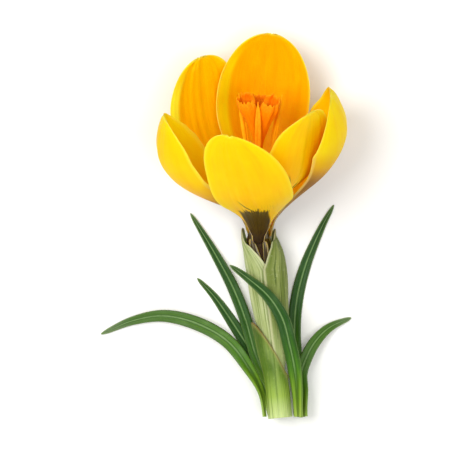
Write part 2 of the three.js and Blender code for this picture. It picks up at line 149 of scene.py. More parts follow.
class Line:
    """A centripetal Catmull-Rom curve, read by its share of the length."""

    SAMPLES = 240

    def __init__(self, points):
        p = np.array(points, float)
        p = np.vstack([2 * p[0] - p[1], p, 2 * p[-1] - p[-2]])
        dense = []
        for i in range(1, len(p) - 2):
            x0, x1, x2, x3 = p[i - 1 : i + 3]
            d0, d1, d2 = (np.linalg.norm(b - a) ** 0.5 for a, b in ((x0, x1), (x1, x2), (x2, x3)))
            t1 = ((x1 - x0) / d0 - (x2 - x0) / (d0 + d1) + (x2 - x1) / d1) * d1
            t2 = ((x2 - x1) / d1 - (x3 - x1) / (d1 + d2) + (x3 - x2) / d2) * d1
            w = np.linspace(0, 1, self.SAMPLES, endpoint=False)[:, None]
            curve = x1 + t1 * w + (-3 * x1 + 3 * x2 - 2 * t1 - t2) * w**2
            dense.append(curve + (2 * x1 - 2 * x2 + t1 + t2) * w**3)
        self.points = np.vstack(dense + [p[-2:-1]])
        steps = np.linalg.norm(np.diff(self.points, axis=0), axis=1)
        self.lengths = np.concatenate([[0.0], np.cumsum(steps)])
        self.length = self.lengths[-1]

    def at(self, share):
        s = np.clip(share, 0, 1) * self.length
        return np.stack([np.interp(s, self.lengths, self.points[:, k]) for k in range(3)], axis=-1)

    def along(self, share):
        e = 0.004
        return unit(self.at(np.clip(share + e, 0, 1)) - self.at(np.clip(share - e, 0, 1)))

    def share_at_y(self, y):
        return np.interp(y, self.points[:, 1], self.lengths) / self.length


# ---- meshes

UV_SPAN = 50  # mm across the UV square
MARGIN_BULGE = 0.8  # of the half thickness, rounding a margin out
FAR_FROM_EDGE = 5.0


def to_frame(points):
    """Millimetres to metres in the model's frame, never under the surface."""
    p = points - ORIGIN
    p[..., 2] = np.maximum(p[..., 2], FLOOR_CLEARANCE)
    return p / 1000


def add_object(name, data):
    thing = bpy.data.objects.new(name, data)
    bpy.context.scene.collection.objects.link(thing)
    return thing


def make_piece(name, node, shape, materials):
    """A mesh piece that replaces a node. Its shape is what shell and joined return."""
    points, faces, face_materials, fields = shape
    mesh = bpy.data.meshes.new(name)
    mesh.from_pydata(to_frame(points).tolist(), [], faces)
    for material in materials:
        mesh.materials.append(material)
    mesh.polygons.foreach_set("material_index", face_materials)
    mesh.polygons.foreach_set("use_smooth", [True] * len(faces))
    for key, values in fields.items():
        layer = mesh.attributes.new(key, "FLOAT", "POINT")
        layer.data.foreach_set("value", values.astype(np.float32))
    layer = mesh.uv_layers.new(name="flat")
    corner = np.empty(len(mesh.loops), np.int32)
    mesh.loops.foreach_get("vertex_index", corner)
    uv = np.stack([fields["lane"], fields["run"]], axis=-1)[corner] / UV_SPAN + 0.5
    layer.data.foreach_set("uv", uv.astype(np.float32).ravel())
    mesh.validate()
    mesh.update()
    piece = add_object(name, mesh)
    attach(piece, "root")
    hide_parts(node)


def grid_faces(rows, cols, start=0, flip=False, around=False):
    """Quads between rows+1 by cols+1 points, or cols points a row where it closes around."""
    wide = cols if around else cols + 1
    i, j = np.meshgrid(np.arange(rows), np.arange(cols), indexing="ij")
    i, j = i.ravel() * wide, j.ravel()
    k = (j + 1) % wide if around else j + 1
    quads = np.stack([i + j, i + k, i + wide + k, i + wide + j], axis=-1) + start
    return (quads[:, ::-1] if flip else quads).tolist()


def sheet_normals(sheet, u, v, low):
    e = 1e-3
    along = sheet(np.minimum(u + e, 1), v) - sheet(np.maximum(u - e, low), v)
    across = sheet(u, np.minimum(v + e, 1)) - sheet(u, np.maximum(v - e, -1))
    return unit(np.cross(across, along))


def shell(sheet, us, vs, thickness, edge, length, width):
    """A thin closed shell about a sheet: points, faces, each face's side and the fields.

    Side 0 is the front face, 1 the back face, 2 the margin and 3 the cut at the root.
    """
    u, v = np.meshgrid(us, vs, indexing="ij")
    middle = sheet(u, v)
    half = thickness(u, v)[..., None] / 2
    lift = sheet_normals(sheet, u, v, us[0]) * half
    rows, cols = len(us) - 1, len(vs) - 1
    count = (rows + 1) * (cols + 1)
    at = np.arange(count).reshape(rows + 1, cols + 1)
    rim = np.concatenate([at[0, :-1], at[:-1, -1], at[-1, :0:-1], at[:0:-1, 0]])
    inner = np.concatenate([at[1, :-1], at[:-1, -2], at[-2, :0:-1], at[:0:-1, 1]])
    flat = middle.reshape(-1, 3)
    bulge = half.reshape(-1, 1)[rim] * MARGIN_BULGE
    bulge[:cols] = 0  # the root is cut flat
    ring = flat[rim] + unit(flat[rim] - flat[inner]) * bulge
    points = np.vstack([(middle + lift).reshape(-1, 3), (middle - lift).reshape(-1, 3), ring])

    faces = grid_faces(rows, cols) + grid_faces(rows, cols, count, flip=True)
    sides = [0] * (rows * cols) + [1] * (rows * cols)
    corners = rim.tolist()
    for k, (a, b) in enumerate(zip(corners, corners[1:] + corners[:1])):
        c, d = 2 * count + k, 2 * count + (k + 1) % len(corners)
        faces += [[a, c, d, b], [c, count + a, count + b, d]]
        sides += [3 if k < cols else 2] * 2

    def at_points(values):
        values = values.ravel()
        return np.concatenate([values, values, values[rim]])

    fields = {"run": u * length, "lane": v * width, "share": u, "edge": edge(u, v)}
    return points, faces, sides, {key: at_points(values) for key, values in fields.items()}


def tube_mesh(rings):
    """A skin over rings of equally many points, fanned shut: points, faces, each face's kind.

    Kind 0 is the wall, 3 the first ring's fan and 2 the last one's.
    """
    rows, sides = rings.shape[0] - 1, rings.shape[1]
    points = np.vstack([rings.reshape(-1, 3), rings[0].mean(0), rings[-1].mean(0)])
    top = rows * sides
    first, last = top + sides, top + sides + 1
    faces = grid_faces(rows, sides, around=True)
    faces += [[first, (j + 1) % sides, j] for j in range(sides)]
    faces += [[last, top + j, top + (j + 1) % sides] for j in range(sides)]
    return points, faces, [0] * top + [3] * sides + [2] * sides


def tube_fields(share, lane, length):
    """The fields of a tube_mesh, with its two end points last."""
    share, lane = np.broadcast_arrays(share, lane)
    share, lane = np.append(share, [0.0, 1.0]), np.append(lane, [0.0, 0.0])
    return {"share": share, "run": share * length, "lane": lane, "edge": np.full(len(share), FAR_FROM_EDGE)}


def joined(parts):
    """Several (points, faces, sides, fields) as one."""
    points, faces, sides, fields = [], [], [], {}
    start = 0
    for p, f, s, extra in parts:
        points.append(p)
        faces += [[k + start for k in face] for face in f]
        sides += s
        for key, values in extra.items():
            fields.setdefault(key, []).append(values)
        start += len(p)
    return np.vstack(points), faces, sides, {key: np.concatenate(v) for key, v in fields.items()}


# ---- material nodes


def srgb(r, g, b):
    """A colour seen on screen, 0 to 255, as the linear colour that nodes take."""
    c = np.array([r, g, b]) / 255
    linear = np.where(c <= 0.04045, c / 12.92, ((c + 0.055) / 1.055) ** 2.4)
    return (*linear.tolist(), 1.0)


class Paint:
    """Builds one material's node tree. Sockets or numbers go in, and sockets come out.

    A colour is a socket, or (r, g, b) as seen on screen.
    """

    def __init__(self, name):
        self.material = bpy.data.materials.new(name)
        self.material.use_nodes = True
        self.tree = self.material.node_tree
        self.shader = self.tree.nodes["Principled BSDF"]
        self.fields = {}

    def feed(self, socket, value):
        if isinstance(value, bpy.types.NodeSocket):
            self.tree.links.new(value, socket)
        else:
            socket.default_value = value

    def new(self, kind, inputs=(), **settings):
        node = self.tree.nodes.new(kind)
        for key, value in settings.items():
            setattr(node, key, value)
        for key, value in dict(inputs).items():
            self.feed(node.inputs[key], value)
        return node

    def field(self, name):
        if name not in self.fields:
            self.fields[name] = self.new("ShaderNodeAttribute", attribute_name=name).outputs["Fac"]
        return self.fields[name]

    def math(self, operation, a, b=0.0):
        return self.new("ShaderNodeMath", {0: a, 1: b}, operation=operation).outputs[0]

    def mul(self, product, *factors):
        for factor in factors:
            product = self.math("MULTIPLY", product, factor)
        return product

    def add(self, a, b):
        return self.math("ADD", a, b)

    def sub(self, a, b):
        return self.math("SUBTRACT", a, b)

    def step(self, x, start, end):
        """0 below start and 1 above end, smoothly; end may be the lower one."""
        inputs = {"Value": x, "From Min": min(start, end), "From Max": max(start, end)}
        inputs.update({"To Min": float(start > end), "To Max": float(start <= end)})
        return self.new("ShaderNodeMapRange", inputs, interpolation_type="SMOOTHSTEP").outputs[0]

    def body(self):
        """The object's own coordinates in millimetres."""
        place = self.new("ShaderNodeTexCoord").outputs["Object"]
        return self.new("ShaderNodeVectorMath", {0: place, "Scale": 1000.0}, operation="SCALE").outputs[0]

    def flat(self, lane_rate, run_rate, seed):
        """The flat coordinates, scaled across and along, in a layer of their own."""
        x, y = self.mul(self.field("lane"), lane_rate), self.mul(self.field("run"), run_rate)
        return self.new("ShaderNodeCombineXYZ", {0: x, 1: y, 2: seed}).outputs[0]

    def noise(self, vector, scale, detail, roughness=0.5):
        inputs = {"Vector": vector, "Scale": scale, "Detail": detail, "Roughness": roughness}
        return self.new("ShaderNodeTexNoise", inputs).outputs[0]

    def grain(self, lane_rate, run_rate, seed, detail=2.0, roughness=0.5):
        """Noise on the flat blade: veins, where the rate along is the low one."""
        return self.noise(self.flat(lane_rate, run_rate, seed), 1.0, detail, roughness)

    def cells(self, vector, scale=1.0):
        return self.new("ShaderNodeTexVoronoi", {"Vector": vector, "Scale": scale}).outputs["Distance"]

    def mix(self, share, a, b):
        a, b = (srgb(*tone) if isinstance(tone, tuple) else tone for tone in (a, b))
        inputs = {0: share, 6: a, 7: b}
        return self.new("ShaderNodeMix", inputs, data_type="RGBA", clamp_factor=True).outputs[2]

    def over(self, colour, tone, *shares):
        """A tone laid over a colour, as strong as the product of the shares."""
        return self.mix(self.mul(*shares), colour, tone)

    def ramp(self, x, stops):
        node = self.new("ShaderNodeValToRGB", {0: x})
        elements = node.color_ramp.elements
        while len(elements) < len(stops):
            elements.new(0.5)
        for element, (position, colour) in zip(elements, stops):
            element.position = position
            element.color = srgb(*colour)
        return node.outputs[0]

    def bump(self, height, depth_mm, strength, under=None):
        inputs = {"Height": height, "Distance": depth_mm / 1000, "Strength": strength}
        if under is not None:
            inputs["Normal"] = under
        return self.new("ShaderNodeBump", inputs).outputs[0]

    def finish(self, colour, roughness, normal, soft=0.0, glow=(1.0, 0.5, 0.2), reach_mm=1.0, specular=0.5):
        """Feeds the shader. Glow is how far each of red, green and blue goes in, times reach."""
        inputs = {"Base Color": colour, "Roughness": roughness, "Normal": normal}
        inputs |= {"Subsurface Weight": soft, "Subsurface Radius": glow}
        inputs |= {"Subsurface Scale": reach_mm / 1000, "Specular IOR Level": specular}
        for key, value in inputs.items():
            self.feed(self.shader.inputs[key], value)
        return self.material


# ---- petal materials

STAIN_TOP = 14.4  # mm up the claw
STAIN_BROWN = (80, 60, 12)
STAIN_DARK = (40, 24, 8)
STAIN_PURPLE = (62, 44, 28)
STAIN_OLIVE = (112, 88, 14)
MARGIN_BUFF = (206, 176, 112)
# Dark veins that run on above the stain: lane at its top, lean, and reach in mm.
STREAKS = (-0.8, -0.36, 7.5), (0.5, 0.08, 3.2), (-2.2, -0.15, 1.8), (1.9, 0.1, 1.4)
# Painted shade over the foot of a tepal, warm then dark, and the pale buff rim its margin keeps there.
SHADE_WARM = (204, 142, 8)
SHADE_DARK = (124, 78, 12)
SHADED_FOOT_RIM = (232, 192, 92)


def stained(p, colour, seed, stain):
    """The brown base: a wedge that widens up the claw, feathered upwards in dark veins."""
    run, lane, edge = (p.field(k) for k in ("run", "lane", "edge"))
    fine = p.grain(5.5, 0.12, seed + 9, 3.0, 0.6)
    height = p.sub(run, p.mul(p.sub(fine, 0.5), 8.0))
    height = p.add(height, p.mul(lane, lane, 0.08))
    wedge = p.step(height, STAIN_TOP + 0.8, STAIN_TOP - 0.8)
    border = p.mul(p.step(run, 0.5, STAIN_TOP), p.add(2.6, p.mul(p.step(lane, -0.5, 0.5), 1.5)))
    wedge = p.mul(wedge, p.step(p.sub(edge, border), 0.0, 0.5))
    low = p.step(run, 3.6, 1.2)
    brown = p.mix(p.step(run, STAIN_TOP + 1.0, 6.0), STAIN_OLIVE, STAIN_BROWN)
    brown = p.over(brown, STAIN_DARK, p.step(fine, 0.48, 0.6), 0.8)
    brown = p.over(brown, STAIN_PURPLE, p.step(run, 3.0, -2.0))
    brown = p.over(brown, STAIN_DARK, p.step(fine, 0.46, 0.56), low, 0.7)
    colour = p.over(colour, brown, p.math("MAXIMUM", wedge, low), stain)
    feathers = p.mul(p.step(fine, 0.55, 0.62), p.step(run, STAIN_TOP + 6.5, STAIN_TOP))
    colour = p.over(colour, STAIN_BROWN, feathers, p.step(edge, 2.8, 4.0), 0.6 * stain)
    above = p.sub(run, STAIN_TOP)
    for start, lean, reach in STREAKS:
        off = p.math("ABSOLUTE", p.sub(lane, p.add(p.mul(above, lean), start)))
        reached = p.mul(p.step(above, reach, 0.5 * reach), p.step(above, -3.0, -1.0))
        colour = p.over(colour, STAIN_DARK, p.step(off, 0.36, 0.12), reached, 0.75 * stain)
    outline = p.mul(p.step(edge, 0.75, 0.3), p.step(run, 14.0, 7.0))
    colour = p.over(colour, STAIN_DARK, outline, 0.75 * stain)
    return p.over(colour, MARGIN_BUFF, p.step(edge, 0.26, 0.16), p.step(run, 12.0, 6.0), 0.85 * stain)


def petal(
    name, seed, tones, stain=1.0, deep_from=0.0, hem=0.6,
    fold_highlight=0.0, highlight_soft=0.0, highlight_tone=(255, 246, 56), highlight_side=1.0, painted_shade=0.0, painted_shade_top=26.0,
):  # fmt: skip
    """One face of the tepals, in its middle, deep, pale and rim tones.

    Stain is the strength of the brown base, and hem that of the rim, a paler margin that is partly
    painted highlight. The deep tone fills the foot, and gives way from deep_from upwards.
    fold_highlight paints a highlight that pales the margin on one side, where it rolls towards the
    light, highlight_soft mm soft, and painted_shade paints shade that darkens the foot below
    painted_shade_top mm.
    """
    p = Paint(name)
    run, lane, share, edge = (p.field(k) for k in ("run", "lane", "share", "edge"))
    middle, deep, pale, rim = tones
    veins = p.grain(2.6, 0.1, seed, 4.0, 0.65)
    broad = p.grain(0.5, 0.07, seed + 4)
    patches = p.noise(p.body(), 0.16, 3.0)
    colour = p.mix(p.step(share, deep_from + 0.45, deep_from), middle, deep)
    colour = p.over(colour, deep, p.step(broad, 0.42, 0.7), 0.4)
    colour = p.over(colour, pale, p.step(patches, 0.45, 0.75), 0.5)
    colour = p.over(colour, pale, p.step(veins, 0.5, 0.72), 0.28)
    colour = p.over(colour, deep, p.step(veins, 0.47, 0.3), 0.25)
    colour = p.over(colour, pale, p.step(edge, 3.0, 1.2), 0.45)
    # Painted highlight: a pale band along the margin on one side, where it rolls towards the light.
    if fold_highlight:
        side = p.mul(p.step(p.mul(lane, highlight_side), 0.0, 1.0), p.step(run, 10.0, 20.0))
        side = p.mul(side, p.step(share, 0.98, 0.8))
        colour = p.over(colour, highlight_tone, p.step(edge, 3.1 + highlight_soft, 2.3 - highlight_soft), side, fold_highlight)
    # A paler rim along the margin, partly painted highlight.
    colour = p.over(colour, rim, p.step(edge, 0.75, 0.15), hem)
    # Painted shade: the foot darker, warm then dark, with a pale buff rim kept along its margin.
    if painted_shade:
        colour = p.over(colour, SHADE_WARM, p.step(run, painted_shade_top, painted_shade_top - 13.0), painted_shade)
        colour = p.over(colour, SHADE_DARK, p.step(run, painted_shade_top - 9.0, painted_shade_top - 16.0), painted_shade)
        low = p.step(run, painted_shade_top, painted_shade_top - 8.0)
        colour = p.over(colour, SHADED_FOOT_RIM, p.step(edge, 0.8, 0.35), low, 0.7)
    if stain:
        colour = stained(p, colour, seed, stain)
    normal = p.bump(veins, 0.12, 0.45)
    normal = p.bump(p.cells(p.flat(6.0, 2.2, seed)), 0.02, 0.35, normal)
    gloss = p.add(0.42, p.mul(patches, 0.16))
    return p.finish(colour, gloss, normal, soft=0.6, glow=(1.0, 0.62, 0.06), specular=0.06)


OUTSIDE_TONES = (253, 192, 0), (248, 172, 0), (255, 205, 4), (255, 226, 60)
INSIDE_RIM = (252, 224, 70)
INSIDE = {"stain": 0.0, "deep_from": 0.12}
# outside_right and inside_low are in brighter tones than the other faces: painted light on tepals that lie
# in shade.
PETALS = {
    "outside": dict(seed=1.0, tones=OUTSIDE_TONES, hem=0.4),
    "outside_low": dict(seed=8.0, tones=OUTSIDE_TONES, painted_shade=0.7),
    "outside_right": dict(
        seed=10.0, tones=((255, 208, 0), (252, 190, 0), (255, 218, 4), (255, 230, 60)),
        painted_shade=0.85, painted_shade_top=31.0,
    ),
    "outside_inner": dict(seed=2.0, tones=OUTSIDE_TONES, stain=0.9),
    "outside_inner_low": dict(seed=9.0, tones=OUTSIDE_TONES, stain=0.9, painted_shade=0.65),
    "inside": dict(
        INSIDE, seed=3.0, tones=((251, 184, 0), (246, 168, 0), (252, 196, 4), INSIDE_RIM),
        fold_highlight=0.3, highlight_soft=0.9,
    ),
    "inside_left": dict(
        INSIDE, seed=6.0, tones=((252, 190, 0), (246, 174, 0), (254, 200, 4), INSIDE_RIM),
        fold_highlight=1.0, highlight_soft=0.3,
    ),
    "inside_right": dict(
        INSIDE, seed=11.0, tones=((252, 188, 0), (247, 172, 0), (253, 198, 4), INSIDE_RIM),
        fold_highlight=1.0, highlight_soft=1.2, highlight_tone=(255, 226, 10), highlight_side=-1.0,
    ),
    "inside_low": dict(
        INSIDE, seed=4.0, tones=((255, 214, 6), (253, 202, 0), (255, 224, 16), INSIDE_RIM),
        fold_highlight=0.9, highlight_soft=0.3,
    ),
    "inside_back": dict(
        INSIDE, seed=5.0, tones=((252, 176, 0), (246, 156, 0), (254, 190, 2), (252, 218, 60)),
        deep_from=0.2, fold_highlight=0.9, highlight_soft=0.4, highlight_tone=(255, 236, 14),
    ),
    "margin": dict(
        seed=7.0, tones=((254, 216, 40), (250, 200, 20), (255, 226, 80), (255, 232, 100)), stain=0.8,
    ),
}  # fmt: skip
PETAL_SKINS = {name: petal("petal_" + name, **look) for name, look in PETALS.items()}


# ---- the stem's line

STEM = Line(
    [(5.0, FOOT_Y, 4.8), (4.1, -26.8, 4.75), (3.1, -18, 4.5), (2.2, -10.4, 4.1)]
    + [(1.6, -5, 4.0), (1.0, -2, 3.9), THROAT, THROAT + AXIS * RIM_HEIGHT]
)
RIM_Y = STEM.at(1.0)[1]
TUBE_RADIUS = graph([(FOOT_Y, 0.7), (-20, 0.85), (-10, 1.15), (-4, 1.6), (-1, 2.3), (1.9, 3.0)])


def tube_radius(share):
    """The tube's radius, drawn in at the rim so that the claws lie over it."""
    y = STEM.at(share)[..., 1]
    return TUBE_RADIUS(y) * (1 - 0.32 * smooth((y + 2.2) / 4.0))


def stem_point(share, azimuth, half_width, half_height):
    """A point round the stem: azimuth 0 is on top, +90 degrees on the right."""
    share = np.asarray(share)
    inside = np.clip(share, 0, 1)
    along = STEM.along(inside)
    right = unit(np.cross(along, UP))
    up = np.cross(right, along)
    point = STEM.at(inside) + along * ((share - inside) * STEM.length)[..., None]
    out = right * (half_width * np.sin(azimuth))[..., None]
    return point + out + up * (half_height * np.cos(azimuth))[..., None]


# ---- tepals


def outward(azimuth):
    a = np.asarray(azimuth)[..., None]
    return FRONT * np.cos(a) + RIGHT * np.sin(a)


def sideways(azimuth):
    a = np.asarray(azimuth)[..., None]
    return FRONT * -np.sin(a) + RIGHT * np.cos(a)


def bloom_point(radius, height, azimuth):
    return THROAT + AXIS * np.asarray(height)[..., None] + outward(azimuth) * np.asarray(radius)[..., None]


LEAN = graph(
    [(0, 12), (0.03, 15), (0.09, 36), (0.18, 50), (0.29, 51), (0.42, 39)]
    + [(0.56, 21), (0.7, 6), (0.83, -5), (0.95, -14), (1, -17)]
)
MIDRIB_STEPS = 80
WIDEST = 0.63  # share of the length where a tepal is widest
TAIL_LEAN = 7 * DEG
TAIL_JOIN = 2.4  # mm below its foot where a claw lies fully on the tube


def midrib(length, base, middle, tip, offset):
    """Distance from the bloom's axis, height and lean along a tepal's midrib."""

    def lean(u):
        low = base * bell(u - 0.2, 0.14)
        return (LEAN(u) + low + middle * smooth((u - 0.25) / 0.35) + tip * smooth((u - 0.6) / 0.4)) * DEG

    step = TEPAL_LENGTH * length / MIDRIB_STEPS
    angles = lean((np.arange(MIDRIB_STEPS) + 0.5) / MIDRIB_STEPS)
    radii = CLAW_RADIUS + np.concatenate([[0], np.cumsum(step * np.sin(angles))])
    heights = CLAW_HEIGHT + np.concatenate([[0], np.cumsum(step * np.cos(angles))])
    knots = np.linspace(0, 1, MIDRIB_STEPS + 1)

    def read(u):
        angle = lean(u)
        tail = np.minimum(u, 0) * TEPAL_LENGTH * length
        radius = np.interp(u, knots, radii) + offset * np.cos(angle) + tail * math.sin(TAIL_LEAN)
        height = np.interp(u, knots, heights) - offset * np.sin(angle) + tail * math.cos(TAIL_LEAN)
        return radius, height, angle

    return read


def tepal_outline(u, claw, taper):
    low = lerp(claw, 1, np.sin(math.pi / 2 * np.clip(u / WIDEST, 0, 1) ** taper))
    high = np.sqrt(np.maximum(0, 1 - np.clip((u - WIDEST) / (1 - WIDEST), 0, 1) ** 2.7))
    return np.where(u < WIDEST, low, high)


# Azimuth 0 is in front, and 90 degrees on the right. Base, middle and tip are degrees that lean
# that stretch further out, bow is the radius across, and tuck draws each margin in by its mm.
# Claw is the foot's share of the width. Tail and rise are mm down the tube and off it, and notch
# is mm at the tip. Faces are the looks of the outside and the inside, in PETALS.
OUTER = {"offset": WHORL_STEP / 2, "claw": 0.16, "taper": 0.95, "tail": 11.0, "rise": 0.12}
INNER = {"offset": -WHORL_STEP / 2, "claw": 0.1, "taper": 1.15, "tail": 8.0, "rise": 0.04}
TEPALS = {
    "tepal_outer_front": dict(
        OUTER, azimuth=-0.5, twist=-17, roll=-2, length=0.96, base=-14.5, middle=8, tip=10.5,
        half_width=8.5, bow=18.8, tuck=(-1.2, 0.8), notch=0.35, seed=11, faces=("outside", "inside"),
    ),
    "tepal_outer_right": dict(
        OUTER, azimuth=103.6, twist=-10, roll=-6.9, length=0.891, base=-6.9, middle=10.9, tip=-32.5,
        half_width=11.8, bow=12.2, tuck=(1.8, 0.45), claw=0.12, taper=1.8, seed=12,
        faces=("outside_right", "inside_right"),
    ),
    "tepal_outer_left": dict(
        OUTER, azimuth=-139, twist=-1.3, roll=-2.5, length=0.907, base=2.4, middle=5.1, tip=5.2,
        half_width=9, bow=17.9, tuck=(-1.3, -0.55), seed=13, faces=("outside_low", "inside_left"),
    ),
    "tepal_inner_right": dict(
        INNER, azimuth=51.6, twist=5.5, roll=-7.7, length=0.844, base=-27.8, middle=-2.2, tip=21,
        half_width=7.75, bow=12.6, tuck=(1.55, -1.3), taper=1.3, seed=14, faces=("outside_inner", "inside"),
    ),
    "tepal_inner_left": dict(
        INNER, azimuth=-76.7, twist=11, roll=-12.5, length=0.99, base=3, middle=19.1, tip=-20.5,
        half_width=9.4, bow=7.3, tuck=(1.65, 1.65), seed=15, faces=("outside_inner_low", "inside_low"),
    ),
    "tepal_inner_back": dict(
        INNER, azimuth=178, twist=-6, roll=-1.2, length=1.03, base=6.2, middle=3.2, tip=-5.9,
        half_width=10.5, bow=13.3, tuck=(2, 1.75), seed=16, faces=("outside_inner", "inside_back"),
    ),
}  # fmt: skip

TEPAL_ROWS = 130
TEPAL_COLS = 76
TEPAL_TIP = 0.9985
TAIL_ROWS = 24
MARGIN_WAVE = 0.42  # these four are mm of relief
RIDGE = 0.04
CREASE = 0.11
RIB = 0.14
RIB_THICKNESS = 0.36
MARGIN_THICKNESS = 0.16


def tepal_form(shape):
    """A tepal's middle sheet, its half width and its length. Below 0, u runs down the tube."""
    rib = midrib(*(shape[k] for k in ("length", "base", "middle", "tip", "offset")))
    ripple = [waves(shape["seed"] + k, 4, 1.5, 4.5) for k in (0, 100)]
    ridges = waves(shape["seed"] + 200, 5, 3.0, 7.5)
    crease = waves(shape["seed"] + 300, 3, 0.8, 2.2)
    length = TEPAL_LENGTH * shape["length"]
    foot_bend = CLAW_RADIUS + shape["offset"]

    def outline(u):
        return tepal_outline(u, shape["claw"], shape["taper"])

    def half(u):
        narrowing = 1 - 0.82 * smooth(-u * length / shape["tail"]) ** 0.8
        return shape["half_width"] * outline(np.clip(u, 0, 1)) * narrowing

    def blade(u, v):
        cleft = shape.get("notch", 0) / length * bell(v + 0.1, 0.2) * smooth((u - 0.93) / 0.07)
        s = np.where(u > 0, u * TEPAL_TIP - cleft, u)
        radius, height, angle = rib(s)
        turned = (shape["azimuth"] + shape["twist"] * s * np.abs(s)) * DEG
        inwards = -outward(turned) * np.cos(angle)[..., None] + AXIS * np.sin(angle)[..., None]
        bend = lerp(foot_bend, shape["bow"], smooth(s / 0.55))
        arc = v * half(s) / bend
        across = bend * np.sin(arc)
        tuck = np.where(v < 0, *shape["tuck"])
        narrow = np.where(s > WIDEST, outline(s), 1) ** 2
        depth = bend * (1 - np.cos(arc)) + smooth(2.5 * s) * tuck * v * v * narrow
        wave = np.where(v < 0, ripple[0](s), ripple[1](s)) * np.abs(v) ** 5
        depth += MARGIN_WAVE * wave * smooth((s - 0.3) / 0.4) * narrow
        depth += RIDGE * ridges(v) * smooth(s * 3)
        depth += CREASE * crease(v + 0.4 * s) * smooth((s - 0.2) / 0.3)
        depth += RIB * bell(v, 0.07) * smooth(s * 5) * (1 - smooth((s - 0.75) / 0.25))
        rolled = shape["roll"] * DEG * smooth(s * 1.5)
        side = across * np.cos(rolled) - depth * np.sin(rolled)
        into = across * np.sin(rolled) + depth * np.cos(rolled)
        middle = bloom_point(radius, height, turned)
        return middle + sideways(turned) * side[..., None] + inwards * into[..., None]

    def tail(u, v):
        share = 1 + (CLAW_HEIGHT - RIM_HEIGHT + np.minimum(u, 0) * length) / STEM.length
        surface = tube_radius(np.minimum(share, 1)) + shape["rise"]
        radius = lerp(foot_bend, surface, smooth(-u * length / TAIL_JOIN))
        radius = radius + 0.1 * (1 - v * v)
        return stem_point(share, shape["azimuth"] * DEG + v * half(u) / foot_bend, radius, radius)

    def sheet(u, v):
        onto = smooth(-u * length / TAIL_JOIN)[..., None]
        return lerp(blade(u, v), tail(u, v), onto)

    return sheet, half, length


def tepal(name, shape):
    sheet, half, length = tepal_form(shape)

    def thickness(u, v):
        flesh = lerp(RIB_THICKNESS, MARGIN_THICKNESS, np.abs(v) ** 2.5)
        flesh = flesh * lerp(1, 0.6, smooth((u - 0.5) / 0.5))
        return flesh * lerp(1.25, 1, smooth(u / 0.2)) * lerp(1, 0.4, smooth(-u * 8))

    def edge(u, v):
        return np.minimum((1 - np.abs(v)) * half(u), (1 - u) * length * 1.1)

    down = np.linspace(-shape["tail"] / length, 0, TAIL_ROWS + 1)[:-1]
    us = np.concatenate([down, crowded(TEPAL_ROWS, 0.75)])
    spread = 0.7 * math.pi / 2  # the columns draw closer together towards the margins
    vs = np.sin(np.linspace(-1, 1, TEPAL_COLS + 1) * spread) / math.sin(spread)
    parts = shell(sheet, us, vs, thickness, edge, length, shape["half_width"])
    outside, inside = (PETAL_SKINS[face] for face in shape["faces"])
    slot = "tepal_outer" if "outer" in name else "tepal_inner"
    make_piece(name + "_blade", name, parts, [outside, inside, PETAL_SKINS["margin"], outside])


for tepal_name, tepal_shape in TEPALS.items():
    tepal(tepal_name, tepal_shape)

# ---- stamens and pistil

CENTRE_LEAN = 4.0  # how far the stamens and the style lean back at CENTRE_TOP
CENTRE_TOP = 33.0


def centre_point(radius, height, azimuth):
    sag = CENTRE_LEAN * (np.asarray(height) / CENTRE_TOP) ** 2
    return bloom_point(radius, height, azimuth) - FRONT * sag[..., None]


def anther_material(name, deep, pale):
    p = Paint(name)
    body = p.body()
    grains = p.cells(body, 6.0)
    tone = p.noise(body, 0.9, 3.0)
    colour = p.mix(p.step(tone, 0.35, 0.7), deep, pale)
    colour = p.over(colour, (255, 202, 40), p.step(grains, 0.5, 0.15), 0.4)
    colour = p.over(colour, (250, 178, 8), p.step(p.field("share"), 0.63, 0.57))
    return p.finish(colour, 0.75, p.bump(grains, 0.07, 0.7), specular=0.15)


def stigma_material(name, foot, top, streak, rim):
    p = Paint(name)
    streaks = p.grain(3.2, 0.35, 3.0, 3.0)
    colour = p.mix(p.step(p.field("share"), 0.1, 0.8), foot, top)
    colour = p.over(colour, streak, p.step(streaks, 0.42, 0.68), 0.5)
    colour = p.over(colour, rim, p.step(p.field("edge"), 0.6, 0.05), 0.6)
    normal = p.bump(p.noise(p.body(), 5.0, 3.0), 0.1, 0.7)
    return p.finish(colour, 0.65, normal, soft=0.3, glow=(1.0, 0.5, 0.03), reach_mm=0.6, specular=0.08)


ANTHER = anther_material("anther", (250, 150, 2), (252, 168, 8))
ANTHER_PALE = anther_material("anther_pale", (254, 178, 0), (255, 192, 6))
STIGMA = stigma_material("stigma", (246, 142, 0), (246, 142, 0), (240, 126, 0), (252, 160, 10))
STIGMA_INSIDE = stigma_material("stigma_inside", (238, 124, 0), (242, 134, 0), (230, 112, 0), (250, 154, 8))

FILAMENT = 0.62  # share of the length below the anther
STAMEN_FOOT = 0.9
STAMENS = {
    "stamen_front": {"azimuth": -3, "spread": 2.8, "top": 33, "skin": ANTHER},
    "stamen_right": {"azimuth": 108, "spread": 5, "top": 32, "skin": ANTHER_PALE},
    "stamen_left": {"azimuth": -134, "spread": 5.6, "top": 31, "skin": ANTHER_PALE},
}
STAMEN_HALF_WIDTH = graph(
    [(0, 0.3), (0.59, 0.33), (0.615, 0.3), (0.65, 0.66), (0.78, 0.76), (0.92, 0.56), (1, 0.12)]
)
STAMEN_HALF_DEPTH = graph([(0, 0.27), (0.59, 0.28), (0.615, 0.24), (0.65, 0.5), (0.8, 0.58), (1, 0.1)])
STAMEN_ROWS = 150
STAMEN_SIDES = 48


